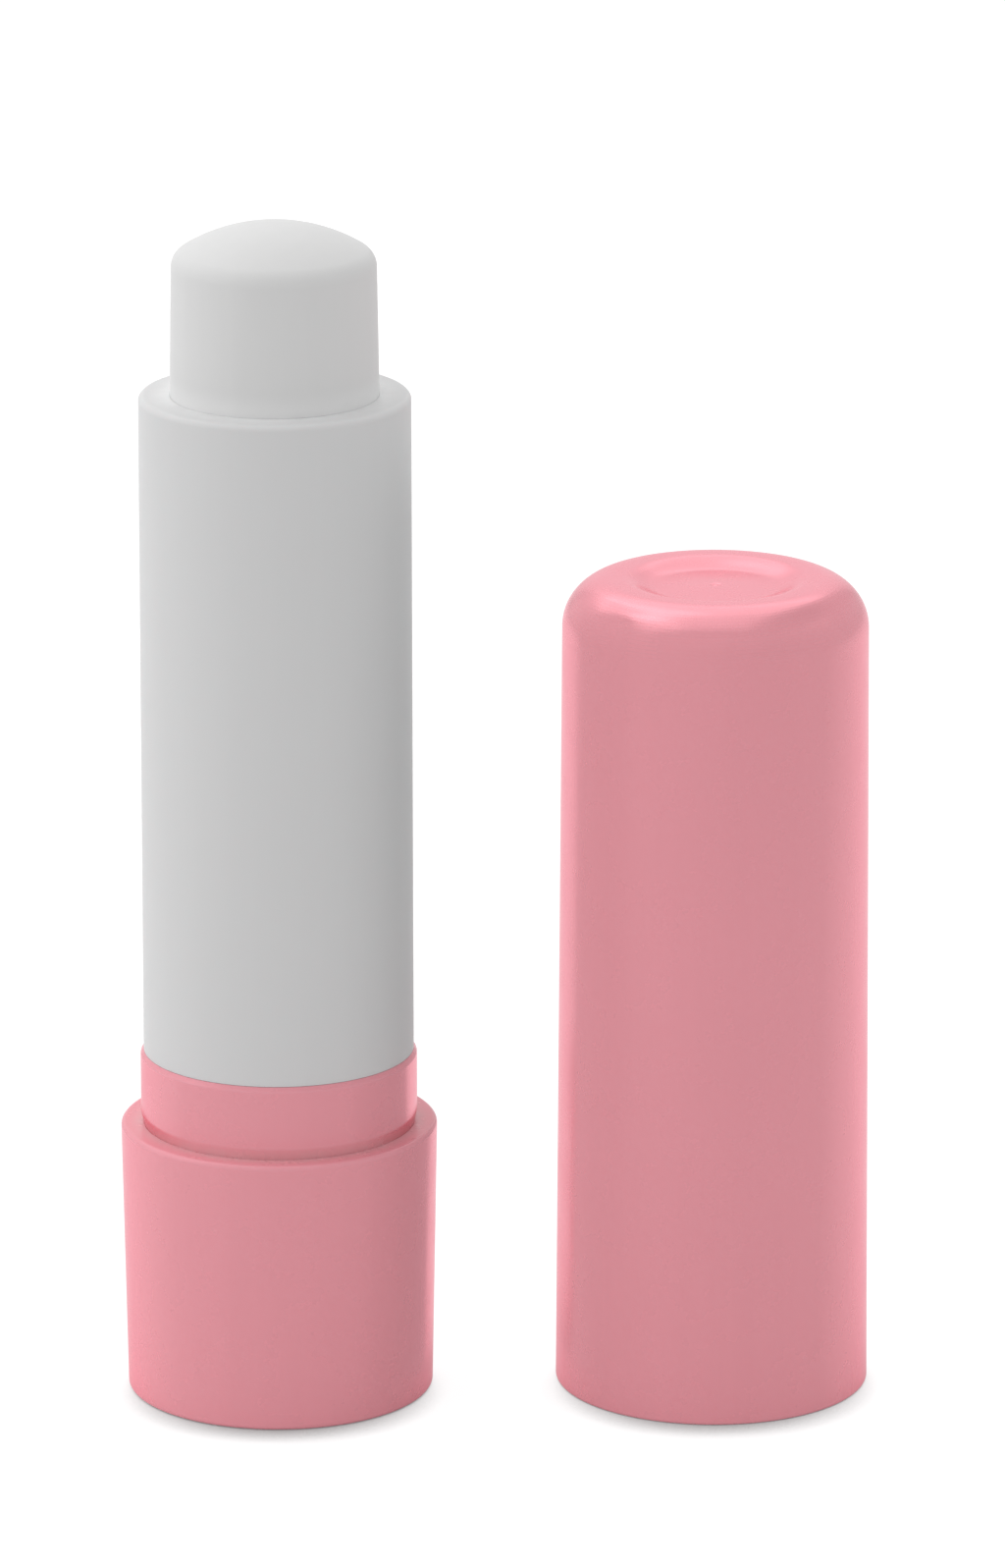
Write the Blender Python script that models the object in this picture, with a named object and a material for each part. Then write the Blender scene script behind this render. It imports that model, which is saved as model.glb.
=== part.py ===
"""Twist-up lip balm stick, standing on its knob, with its cap taken off and stood beside it.

The knob carries a left-hand lead screw. A carrier cup is threaded on the screw and keyed to
the barrel, so that turning the knob slides the cup and the balm along the barrel. The collar
is pressed into the knob and holds the barrel by a snap bead, which lets the barrel turn.
Metres, +Z up. The origin is the centre of the knob's foot. The knob turns and the cup slides
on the Z axis, and the cap stands on its own.
"""

import math

import bmesh
import bpy
from mathutils import Matrix

MM = 0.001

# Balm stick
BALM_RADIUS = 6.45 * MM
BALM_TIP_RADIUS = 6.31 * MM  # where the draft ends and the dome begins
BALM_TIP_LENGTH = 8.7 * MM  # drafted length below the dome
BALM_DOME_RISE = 2.02 * MM
BALM_EDGE_ROUND = 1.25 * MM
BALM_CROWN = 6.4 * MM  # solid balm above the end of the screw's bore
APEX_RECESS = 0.5 * MM  # apex below the barrel's mouth when wound right down
REST_RAISE = 11.2 * MM  # how far the balm is wound up here
CAST_GAP = 0.05 * MM

# Barrel
BALM_GAP = 0.04 * MM
BARREL_WALL = 1.9 * MM
BARREL_DRAFT = 0.05 * MM
BARREL_EXPOSED = 41.94 * MM
BARREL_RIM_ROUND = 0.36 * MM
MOUTH_CHAMFER = 0.06 * MM
SPIGOT_WALL = 1.01 * MM
BEAD_HEIGHT = 0.2 * MM
BEAD_HALF_WIDTH = 0.5 * MM
BEAD_RISE = 1.8 * MM
KEYWAY_DEPTH = 0.42 * MM
KEYWAY_WIDTH = 1.8 * MM
KEYWAY_COUNT = 4

# Collar
SEAM_GAP = 0.03 * MM
RUNNING_GAP = 0.12 * MM
COLLAR_EXPOSED = 4.69 * MM
COLLAR_STEP = 0.2 * MM  # how far it stands proud of the barrel
COLLAR_LIP_DROP = 0.28 * MM
COLLAR_LIP_ROUND = 0.2 * MM
COLLAR_LIFT = 0.05 * MM  # between its rounded foot and the knob's rim
COLLAR_FOOT_ROUND = 0.62 * MM
WAIST_WALL = 0.38 * MM  # what is left of the collar under its rounded foot
WAIST_DROP = 0.06 * MM  # between the knob's rim and the land that the foot stands over
COLLAR_LEAD = 0.3 * MM

# Knob
PRESS_GAP = 0.05 * MM
KNOB_WALL = 1.21 * MM
KNOB_DRAFT = 0.32 * MM
KNOB_HEIGHT = 17.35 * MM
KNOB_FLOOR = 1.5 * MM
KNOB_FOOT_ROUND = 0.5 * MM
KNOB_RIM_ROUND = 0.28 * MM
KNOB_MOUTH_ROUND = 0.06 * MM
LEDGE_WIDTH = 0.55 * MM
LEDGE_DROP = 1.3 * MM  # below the hub's top
SOCKET_RADIUS = 2.3 * MM  # across the corners of its hexagon
SOCKET_SIDES = 6
HUB_WALL = 1.1 * MM
HUB_HEIGHT = 8.8 * MM
HUB_FOOT_ROUND = 0.4 * MM
KNOB_RIB_COUNT = 6
KNOB_RIB_THICKNESS = 0.8 * MM
KNOB_RIB_HEIGHT = 5.0 * MM

# Lead screw
SCREW_LEAD = 4.0 * MM
SCREW_RADIUS = 2.5 * MM
THREAD_DEPTH = 0.65 * MM
CREST_SHARE = 0.225  # of the lead
FLANK_SHARE = 0.125  # of the lead
SCREW_TIP_GAP = 0.6 * MM
FLANGE_THICKNESS = 1.0 * MM
FLANGE_EDGE_GAP = 0.3 * MM
FLANGE_ROUND = 0.2 * MM
THRUST_GAP = 0.2 * MM

# Carrier cup
CARRIER_GAP = 0.15 * MM
CARRIER_LIFT = 0.3 * MM  # above the flange when wound right down
CARRIER_HEIGHT = 9.5 * MM
CARRIER_FLOOR_HEIGHT = 3.6 * MM
CARRIER_FLOOR = 1.2 * MM
CUP_WALL = 0.65 * MM
NUT_WALL = 0.9 * MM
NUT_LENGTH = 5.6 * MM
THREAD_GAP = 0.2 * MM
KEY_LENGTH = 4.0 * MM
KEY_GAP = 0.12 * MM
KEY_ROOT = 0.3 * MM
KEY_RISE = 0.2 * MM  # above the skirt's foot
ANCHOR_SLOT_WIDTH = 1.4 * MM
ANCHOR_SLOT_DEPTH = 3.0 * MM
STOP_GAP = 0.3 * MM

# Cap
CAP_FIT_GAP = 0.12 * MM  # between its mouth and the collar
CAP_INSET = 0.08 * MM  # its foot is this much inside the knob's edge
CAP_DRAFT = 0.34 * MM
CAP_INNER_DRAFT = 0.3 * MM
CAP_HEADROOM = 4.1 * MM
CAP_CROWN = 1.27 * MM
CAP_SHOULDER_ROUND = 3.1 * MM
CAP_INNER_ROUND = 2.0 * MM
CAP_RIM_ROUND = 0.2 * MM
CREST_RADIUS = 5.8 * MM  # highest ring of the crown
DISH_RADIUS = 3.7 * MM  # lowest ring, inside it
DISH_DEPTH = 0.55 * MM
DISH_FLOOR_RISE = 0.1 * MM
GRIP_RIB_COUNT = 6
GRIP_RIB_HEIGHT = 0.2 * MM
GRIP_RIB_WIDTH = 0.6 * MM
GRIP_RIB_LENGTH = 3.6 * MM
GRIP_RIB_RISE = 0.8 * MM
CAP_STANDOFF = 7.45 * MM  # free space between the knob and the cap
CAP_SETBACK = 1.2 * MM

# Mesh
ROUND_SEGMENTS = 48
SCREW_SEGMENTS = 24
FILLET_STEPS = 3
DOME_STEPS = 6
DISH_STEPS = 4
OVERRUN = 0.5 * MM  # how far a cutter or a root runs past the face it meets
WELD = 0.0001 * MM

# Radii worked out from the balm outwards
BARREL_BORE_RADIUS = BALM_RADIUS + BALM_GAP
BARREL_TOP_RADIUS = BARREL_BORE_RADIUS + BARREL_WALL
BARREL_FOOT_RADIUS = BARREL_TOP_RADIUS + BARREL_DRAFT
SPIGOT_RADIUS = BARREL_BORE_RADIUS + SPIGOT_WALL
KEYWAY_RADIUS = BARREL_BORE_RADIUS + KEYWAY_DEPTH
COLLAR_BORE_RADIUS = SPIGOT_RADIUS + RUNNING_GAP
COLLAR_RADIUS = BARREL_FOOT_RADIUS + COLLAR_STEP
KNOB_BORE_RADIUS = COLLAR_RADIUS + PRESS_GAP
KNOB_TOP_RADIUS = KNOB_BORE_RADIUS + KNOB_WALL
KNOB_FOOT_RADIUS = KNOB_TOP_RADIUS - KNOB_DRAFT
HUB_RADIUS = SOCKET_RADIUS + HUB_WALL
SCREW_ROOT_RADIUS = SCREW_RADIUS - THREAD_DEPTH
SCREW_BORE_RADIUS = SCREW_RADIUS + THREAD_GAP
NUT_RADIUS = SCREW_BORE_RADIUS + NUT_WALL
CARRIER_RADIUS = BARREL_BORE_RADIUS - CARRIER_GAP
CUP_BORE_RADIUS = CARRIER_RADIUS - CUP_WALL
CAP_BORE_RADIUS = COLLAR_RADIUS + CAP_FIT_GAP
CAP_FOOT_RADIUS = KNOB_TOP_RADIUS - CAP_INSET
CAP_TOP_RADIUS = CAP_FOOT_RADIUS - CAP_DRAFT

# Heights worked out from the knob's foot upwards
HUB_TOP = KNOB_FLOOR + HUB_HEIGHT
LEDGE_HEIGHT = HUB_TOP - LEDGE_DROP
FLANGE_FOOT = HUB_TOP + PRESS_GAP
FLANGE_TOP = FLANGE_FOOT + FLANGE_THICKNESS
BARREL_END = FLANGE_TOP + THRUST_GAP
COLLAR_TOP = KNOB_HEIGHT + COLLAR_EXPOSED
BARREL_SHOULDER = COLLAR_TOP + SEAM_GAP
BARREL_TOP = BARREL_SHOULDER + BARREL_EXPOSED
CARRIER_LOW = FLANGE_TOP + CARRIER_LIFT
CARRIER_FOOT = CARRIER_LOW + REST_RAISE
NUT_TOP = CARRIER_FOOT + NUT_LENGTH
CUP_FLOOR = CARRIER_FOOT + CARRIER_FLOOR_HEIGHT + CARRIER_FLOOR
CUP_RIM = CARRIER_FOOT + CARRIER_HEIGHT
BALM_APEX = BARREL_TOP - APEX_RECESS + REST_RAISE
BALM_BORE_END = BALM_APEX - BALM_CROWN
SCREW_TOP = BALM_BORE_END - REST_RAISE - SCREW_TIP_GAP
CARRIER_HIGH = SCREW_TOP - NUT_LENGTH
KEYWAY_TOP = CARRIER_HIGH + KEY_LENGTH + STOP_GAP
CAP_CEILING = COLLAR_EXPOSED + SEAM_GAP + BARREL_EXPOSED + CAP_HEADROOM
CAP_HEIGHT = CAP_CEILING + CAP_CROWN
CAP_X = KNOB_TOP_RADIUS + CAP_STANDOFF + CAP_FOOT_RADIUS
CAP_Y = CAP_SETBACK

# Finishes
PINK = (0.87, 0.34, 0.38, 1.0)
WHITE = (0.78, 0.78, 0.78, 1.0)
WAX = (0.80, 0.80, 0.79, 1.0)
SATIN = 0.35
BARE = 0.5
CREASE_ANGLE = math.radians(35)


def clear_scene():
    for old in list(bpy.data.objects):
        bpy.data.objects.remove(old)


def plastic(name, colour, roughness):
    material = bpy.data.materials.new(name)
    material.use_nodes = True
    shader = material.node_tree.nodes["Principled BSDF"]
    shader.inputs["Base Color"].default_value = colour
    shader.inputs["Roughness"].default_value = roughness
    shader.inputs["Metallic"].default_value = 0.0
    return material


def add_object(name, mesh, material=None):
    """Links a mesh as a named object, shaded smooth apart from its sharp edges."""
    made = bpy.data.objects.new(name, mesh)
    bpy.context.collection.objects.link(made)
    if material:
        mesh.materials.append(material)
    mesh.shade_smooth()
    mesh.set_sharp_from_angle(angle=CREASE_ANGLE)
    return made


def filleted(corners):
    """Turns (radius, height, fillet) corners into outline points, with an arc where fillet > 0."""
    points = []
    count = len(corners)
    for index, (r, z, fillet) in enumerate(corners):
        if fillet <= 0:
            points.append((r, z))
            continue
        before = corners[index - 1]
        after = corners[(index + 1) % count]
        toward_before = math.atan2(before[1] - z, before[0] - r)
        toward_after = math.atan2(after[1] - z, after[0] - r)
        turn = (toward_after - toward_before + math.pi) % (2 * math.pi) - math.pi
        middle = toward_before + turn / 2
        reach = fillet / math.sin(abs(turn) / 2)
        centre = (r + reach * math.cos(middle), z + reach * math.sin(middle))
        side = math.copysign(1, turn)
        start = toward_before - side * math.pi / 2
        sweep = -side * (math.pi - abs(turn))
        for step in range(FILLET_STEPS + 1):
            angle = start + sweep * step / FILLET_STEPS
            points.append((centre[0] + fillet * math.cos(angle), centre[1] + fillet * math.sin(angle)))
    return points


def revolved(name, outline, ring, material=None):
    """Spins an outline round Z. A ring outline is closed; any other starts and ends on the axis."""
    shape = bmesh.new()
    verts = [shape.verts.new((r, 0, z)) for r, z in outline]
    edges = [shape.edges.new(pair) for pair in zip(verts, verts[1:])]
    if ring:
        edges.append(shape.edges.new((verts[-1], verts[0])))
    bmesh.ops.spin(
        shape,
        geom=verts + edges,
        axis=(0, 0, 1),
        cent=(0, 0, 0),
        angle=2 * math.pi,
        steps=ROUND_SEGMENTS,
        use_merge=True,
    )
    bmesh.ops.remove_doubles(shape, verts=shape.verts, dist=WELD)
    bmesh.ops.recalc_face_normals(shape, faces=shape.faces)
    mesh = bpy.data.meshes.new(name)
    shape.to_mesh(mesh)
    shape.free()
    return add_object(name, mesh, material)


def add_box(shape, low, high, turn):
    """Adds a box between two corners to a bmesh, then turns it about Z."""
    centre = [(a + b) / 2 for a, b in zip(low, high)]
    size = [b - a for a, b in zip(low, high)]
    matrix = (
        Matrix.Rotation(turn, 4, "Z")
        @ Matrix.Translation(centre)
        @ Matrix.Diagonal((*size, 1.0))
    )
    bmesh.ops.create_cube(shape, size=1.0, matrix=matrix)


def box_ring(name, count, low, high, first_turn=0.0):
    """The same box, count times round Z, as one hidden helper object."""
    shape = bmesh.new()
    for index in range(count):
        add_box(shape, low, high, first_turn + 2 * math.pi * index / count)
    mesh = bpy.data.meshes.new(name)
    shape.to_mesh(mesh)
    shape.free()
    return helper(add_object(name, mesh))


def prism(name, sides, radius, foot, top):
    """An upright prism with a corner on +X, as a hidden helper object."""
    shape = bmesh.new()
    bmesh.ops.create_cone(
        shape,
        cap_ends=True,
        segments=sides,
        radius1=radius,
        radius2=radius,
        depth=top - foot,
        matrix=Matrix.Translation((0, 0, (foot + top) / 2)),
    )
    mesh = bpy.data.meshes.new(name)
    shape.to_mesh(mesh)
    shape.free()
    return helper(add_object(name, mesh))


def thread_columns(shape, foot, top, gap):
    """Upright rows of points round a left-hand helix, each the thread's profile over and over."""
    root = SCREW_ROOT_RADIUS + gap
    crest = SCREW_RADIUS + gap
    half_crest = SCREW_LEAD * CREST_SHARE / 2 + gap
    half_thread = half_crest + SCREW_LEAD * FLANK_SHARE
    profile = [(root, -half_thread), (crest, -half_crest), (crest, half_crest), (root, half_thread)]
    first = math.floor(foot / SCREW_LEAD) - 1
    last = math.ceil(top / SCREW_LEAD) + 2
    columns = []
    for index in range(SCREW_SEGMENTS):
        share = index / SCREW_SEGMENTS
        angle = 2 * math.pi * share
        column = []
        for turn in range(first, last):
            rise = SCREW_LEAD * (turn - share)
            for r, z in profile:
                column.append(shape.verts.new((r * math.cos(angle), r * math.sin(angle), z + rise)))
        columns.append(column)
    return columns, len(profile)


def cut_square(shape, height, direction):
    """Cuts everything past a level plane away, and closes the cut."""
    bmesh.ops.bisect_plane(
        shape,
        geom=shape.verts[:] + shape.edges[:] + shape.faces[:],
        dist=WELD,
        plane_co=(0, 0, height),
        plane_no=(0, 0, direction),
        clear_outer=True,
    )
    rim = []
    for edge in shape.edges:
        if edge.is_boundary and all(abs(vert.co.z - height) < WELD for vert in edge.verts):
            rim.append(edge)
    bmesh.ops.holes_fill(shape, edges=rim, sides=0)


def threaded_rod(name, foot, top, gap):
    """A rod with a left-hand thread, cut square at both ends. A gap grows it to cut a nut.

    Going once round lowers the thread by one lead, so the last column of the lattice is joined
    to the first one a whole profile further down.
    """
    shape = bmesh.new()
    columns, per_turn = thread_columns(shape, foot, top, gap)
    for index, here in enumerate(columns):
        closing = index == len(columns) - 1
        there = columns[0] if closing else columns[index + 1]
        shift = per_turn if closing else 0
        for row in range(shift, len(here) - 1):
            low = row - shift
            shape.faces.new((here[row], there[low], there[low + 1], here[row + 1]))
    cut_square(shape, foot, -1)
    cut_square(shape, top, 1)
    bmesh.ops.recalc_face_normals(shape, faces=shape.faces)
    mesh = bpy.data.meshes.new(name)
    shape.to_mesh(mesh)
    shape.free()
    return helper(add_object(name, mesh))


def helper(made):
    """Hides an object that only cuts or joins another."""
    made.hide_render = True
    made.display_type = "WIRE"
    return made


def combine(target, other, operation):
    modifier = target.modifiers.new(other.name, "BOOLEAN")
    modifier.operation = operation
    modifier.solver = "EXACT"
    modifier.object = other


def make_knob():
    """A cup with a drafted wall, a ledge for the collar, and a ribbed hub with a hex socket."""
    ledge_radius = KNOB_BORE_RADIUS - LEDGE_WIDTH
    corners = [
        (0, 0, 0),
        (KNOB_FOOT_RADIUS, 0, KNOB_FOOT_ROUND),
        (KNOB_TOP_RADIUS, KNOB_HEIGHT, KNOB_RIM_ROUND),
        (KNOB_BORE_RADIUS, KNOB_HEIGHT, KNOB_MOUTH_ROUND),
        (KNOB_BORE_RADIUS, LEDGE_HEIGHT, 0),
        (ledge_radius, LEDGE_HEIGHT, 0),
        (ledge_radius, KNOB_FLOOR, HUB_FOOT_ROUND),
        (HUB_RADIUS, KNOB_FLOOR, HUB_FOOT_ROUND),
        (HUB_RADIUS, HUB_TOP, 0),
        (0, HUB_TOP, 0),
    ]
    knob = revolved("knob", filleted(corners), False, plastic("knob_plastic", PINK, SATIN))
    ribs = box_ring(
        "knob_rib_former",
        KNOB_RIB_COUNT,
        (HUB_RADIUS - OVERRUN, -KNOB_RIB_THICKNESS / 2, KNOB_FLOOR - OVERRUN),
        (ledge_radius + OVERRUN, KNOB_RIB_THICKNESS / 2, KNOB_FLOOR + KNOB_RIB_HEIGHT),
        math.pi / KNOB_RIB_COUNT,
    )
    combine(knob, ribs, "UNION")
    socket = prism("socket_cutter", SOCKET_SIDES, SOCKET_RADIUS, KNOB_FLOOR, HUB_TOP + OVERRUN)
    combine(knob, socket, "DIFFERENCE")
    return knob


def make_collar():
    """A sleeve pressed into the knob, with a waist over the knob's rim and a groove for the bead."""
    ring_foot = KNOB_HEIGHT + COLLAR_LIFT
    waist = COLLAR_BORE_RADIUS + WAIST_WALL
    foot_round = min(COLLAR_FOOT_ROUND, COLLAR_RADIUS - waist)
    land_top = KNOB_HEIGHT - WAIST_DROP
    foot = LEDGE_HEIGHT + PRESS_GAP
    groove_radius = COLLAR_BORE_RADIUS + BEAD_HEIGHT
    groove_low = BARREL_END + BEAD_RISE - BEAD_HALF_WIDTH - BEAD_HEIGHT
    groove_high = BARREL_END + BEAD_RISE + BEAD_HALF_WIDTH + BEAD_HEIGHT
    corners = [
        (COLLAR_BORE_RADIUS, COLLAR_TOP, 0),
        (BARREL_FOOT_RADIUS, COLLAR_TOP, 0),
        (COLLAR_RADIUS, COLLAR_TOP - COLLAR_LIP_DROP, COLLAR_LIP_ROUND),
        (COLLAR_RADIUS, ring_foot, foot_round),
        (waist, ring_foot, 0),
        (waist, land_top, 0),
        (COLLAR_RADIUS, land_top, 0),
        (COLLAR_RADIUS, foot + COLLAR_LEAD, 0),
        (COLLAR_RADIUS - COLLAR_LEAD, foot, 0),
        (COLLAR_BORE_RADIUS, foot, 0),
        (COLLAR_BORE_RADIUS, groove_low, 0),
        (groove_radius, groove_low + BEAD_HEIGHT, 0),
        (groove_radius, groove_high - BEAD_HEIGHT, 0),
        (COLLAR_BORE_RADIUS, groove_high, 0),
    ]
    return revolved("collar", filleted(corners), True, plastic("collar_plastic", PINK, SATIN))


def make_barrel():
    """The tube: an exposed wall, a thinner spigot with its snap bead, and four keyways inside."""
    bead = BARREL_END + BEAD_RISE
    corners = [
        (BARREL_BORE_RADIUS, BARREL_END, 0),
        (SPIGOT_RADIUS, BARREL_END, 0),
        (SPIGOT_RADIUS, bead - BEAD_HALF_WIDTH, 0),
        (SPIGOT_RADIUS + BEAD_HEIGHT, bead, 0),
        (SPIGOT_RADIUS, bead + BEAD_HALF_WIDTH, 0),
        (SPIGOT_RADIUS, BARREL_SHOULDER, 0),
        (BARREL_FOOT_RADIUS, BARREL_SHOULDER, 0),
        (BARREL_TOP_RADIUS, BARREL_TOP, BARREL_RIM_ROUND),
        (BARREL_BORE_RADIUS + MOUTH_CHAMFER, BARREL_TOP, 0),
        (BARREL_BORE_RADIUS, BARREL_TOP - MOUTH_CHAMFER, 0),
    ]
    barrel = revolved("barrel", filleted(corners), True, plastic("barrel_plastic", WHITE, SATIN))
    keyways = box_ring(
        "keyway_cutter",
        KEYWAY_COUNT,
        (BARREL_BORE_RADIUS - OVERRUN, -KEYWAY_WIDTH / 2, BARREL_END - OVERRUN),
        (KEYWAY_RADIUS, KEYWAY_WIDTH / 2, KEYWAY_TOP),
        math.pi / KEYWAY_COUNT,
    )
    combine(barrel, keyways, "DIFFERENCE")
    return barrel


def make_screw():
    """The lead screw: a hex root in the knob's socket, a thrust flange and the threaded rod."""
    flange_radius = COLLAR_BORE_RADIUS - FLANGE_EDGE_GAP
    corners = [
        (0, FLANGE_FOOT, 0),
        (flange_radius, FLANGE_FOOT, 0),
        (flange_radius, FLANGE_TOP, FLANGE_ROUND),
        (0, FLANGE_TOP, 0),
    ]
    screw = revolved("lead_screw", filleted(corners), False, plastic("screw_plastic", WHITE, BARE))
    rod = threaded_rod("screw_thread", FLANGE_FOOT + FLANGE_THICKNESS / 2, SCREW_TOP, 0)
    combine(screw, rod, "UNION")
    root = prism(
        "screw_root",
        SOCKET_SIDES,
        SOCKET_RADIUS - PRESS_GAP,
        KNOB_FLOOR + PRESS_GAP,
        FLANGE_FOOT + FLANGE_THICKNESS / 2,
    )
    combine(screw, root, "UNION")
    return screw


def make_carrier():
    """A cup over a skirt, with a threaded nut in the middle and keys that run in the barrel."""
    floor_under = CARRIER_FOOT + CARRIER_FLOOR_HEIGHT
    corners = [
        (0, CARRIER_FOOT),
        (NUT_RADIUS, CARRIER_FOOT),
        (NUT_RADIUS, floor_under),
        (CUP_BORE_RADIUS, floor_under),
        (CUP_BORE_RADIUS, CARRIER_FOOT),
        (CARRIER_RADIUS, CARRIER_FOOT),
        (CARRIER_RADIUS, CUP_RIM),
        (CUP_BORE_RADIUS, CUP_RIM),
        (CUP_BORE_RADIUS, CUP_FLOOR),
        (NUT_RADIUS, CUP_FLOOR),
        (NUT_RADIUS, NUT_TOP),
        (0, NUT_TOP),
    ]
    carrier = revolved("carrier_cup", corners, False, plastic("carrier_plastic", WHITE, BARE))
    key_half_width = KEYWAY_WIDTH / 2 - KEY_GAP
    keys = box_ring(
        "key_former",
        KEYWAY_COUNT,
        (CARRIER_RADIUS - KEY_ROOT, -key_half_width, CARRIER_FOOT + KEY_RISE),
        (KEYWAY_RADIUS - KEY_GAP, key_half_width, CARRIER_FOOT + KEY_LENGTH),
        math.pi / KEYWAY_COUNT,
    )
    combine(carrier, keys, "UNION")
    slots = box_ring(
        "anchor_slot_cutter",
        KEYWAY_COUNT,
        (CUP_BORE_RADIUS - OVERRUN, -ANCHOR_SLOT_WIDTH / 2, CUP_RIM - ANCHOR_SLOT_DEPTH),
        (CARRIER_RADIUS + OVERRUN, ANCHOR_SLOT_WIDTH / 2, CUP_RIM + OVERRUN),
    )
    combine(carrier, slots, "DIFFERENCE")
    tap = threaded_rod("nut_cutter", CARRIER_FOOT - OVERRUN, NUT_TOP + OVERRUN, THREAD_GAP)
    combine(carrier, tap, "DIFFERENCE")
    return carrier


def dome_outline():
    """The tip: an edge round of its own radius running into a shallow spherical dome."""
    sphere = (BALM_TIP_RADIUS**2 + BALM_DOME_RISE**2) / (2 * BALM_DOME_RISE)
    centre = BALM_APEX - sphere
    inset = BALM_TIP_RADIUS - BALM_EDGE_ROUND
    edge_centre = centre + math.sqrt((sphere - BALM_EDGE_ROUND) ** 2 - inset**2)
    meet = math.atan2(edge_centre - centre, inset)
    points = []
    for step in range(FILLET_STEPS + 1):
        angle = meet * step / FILLET_STEPS
        r = inset + BALM_EDGE_ROUND * math.cos(angle)
        points.append((r, edge_centre + BALM_EDGE_ROUND * math.sin(angle)))
    for step in range(1, DOME_STEPS):
        angle = meet + (math.pi / 2 - meet) * step / DOME_STEPS
        points.append((sphere * math.cos(angle), centre + sphere * math.sin(angle)))
    points.append((0, BALM_APEX))
    return points


def make_balm():
    """The wax stick, cast in the cup and its slots, with a blind bore for the screw."""
    over_nut = NUT_TOP + CAST_GAP
    foot = CUP_FLOOR + CAST_GAP
    step = CUP_RIM + CAST_GAP
    dome = dome_outline()
    outline = [
        (0, BALM_BORE_END),
        (SCREW_BORE_RADIUS, BALM_BORE_END),
        (SCREW_BORE_RADIUS, over_nut),
        (NUT_RADIUS + CAST_GAP, over_nut),
        (NUT_RADIUS + CAST_GAP, foot),
        (CUP_BORE_RADIUS - CAST_GAP, foot),
        (CUP_BORE_RADIUS - CAST_GAP, step),
        (BALM_RADIUS, step),
        (BALM_RADIUS, dome[0][1] - BALM_TIP_LENGTH),
    ]
    balm = revolved("balm", outline + dome, False, plastic("balm_wax", WAX, SATIN))
    lug_half_width = ANCHOR_SLOT_WIDTH / 2 - CAST_GAP
    lugs = box_ring(
        "anchor_lug_former",
        KEYWAY_COUNT,
        (CUP_BORE_RADIUS - OVERRUN, -lug_half_width, CUP_RIM - ANCHOR_SLOT_DEPTH + CAST_GAP),
        (CARRIER_RADIUS, lug_half_width, step + OVERRUN),
    )
    combine(balm, lugs, "UNION")
    return balm


def crown_outline():
    """The cap's top from the shoulder inwards: a round, a crest ring and a dish in soft waves."""
    points = []
    for step in range(2 * DOME_STEPS + 1):
        angle = math.pi / 2 * step / (2 * DOME_STEPS)
        r = CAP_TOP_RADIUS - CAP_SHOULDER_ROUND * (1 - math.cos(angle))
        points.append((r, CAP_HEIGHT - CAP_SHOULDER_ROUND * (1 - math.sin(angle))))
    dish_floor = CAP_HEIGHT - DISH_DEPTH
    waves = (
        (CREST_RADIUS, CAP_HEIGHT, DISH_RADIUS, dish_floor),
        (DISH_RADIUS, dish_floor, 0, dish_floor + DISH_FLOOR_RISE),
    )
    for r_from, z_from, r_to, z_to in waves:
        for step in range(DISH_STEPS):
            share = step / DISH_STEPS
            ease = (1 - math.cos(math.pi * share)) / 2
            points.append((r_from + (r_to - r_from) * share, z_from + (z_to - z_from) * ease))
    points.append((0, dish_floor + DISH_FLOOR_RISE))
    return points


def make_cap():
    """A drafted cup, mouth down, with a round shoulder, a dished crown and grip ribs inside."""
    corners = [
        (0, CAP_CEILING, 0),
        (CAP_BORE_RADIUS - CAP_INNER_DRAFT, CAP_CEILING, CAP_INNER_ROUND),
        (CAP_BORE_RADIUS, 0, CAP_RIM_ROUND),
        (CAP_FOOT_RADIUS, 0, CAP_RIM_ROUND),
        crown_outline()[0] + (0,),
    ]
    outline = filleted(corners) + crown_outline()[1:]
    cap = revolved("cap", outline, False, plastic("cap_plastic", PINK, SATIN))
    ribs = box_ring(
        "grip_rib_former",
        GRIP_RIB_COUNT,
        (CAP_BORE_RADIUS - GRIP_RIB_HEIGHT, -GRIP_RIB_WIDTH / 2, GRIP_RIB_RISE),
        (CAP_BORE_RADIUS + OVERRUN, GRIP_RIB_WIDTH / 2, GRIP_RIB_RISE + GRIP_RIB_LENGTH),
    )
    combine(cap, ribs, "UNION")
    ribs.parent = cap
    cap.location = (CAP_X, CAP_Y, 0)
    return cap


def main():
    clear_scene()
    make_knob()
    make_collar()
    make_screw()
    make_barrel()
    make_carrier()
    make_balm()
    make_cap()


main()
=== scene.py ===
"""The looks of a twist-up lip balm stick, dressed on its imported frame.

The sections follow the stick as it is put together: knob, lead screw, collar, barrel, carrier
cup, balm and cap, and then the table, lamps and camera. Lengths are metres, and the stick's
axis is the Z axis.
"""
import math

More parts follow.
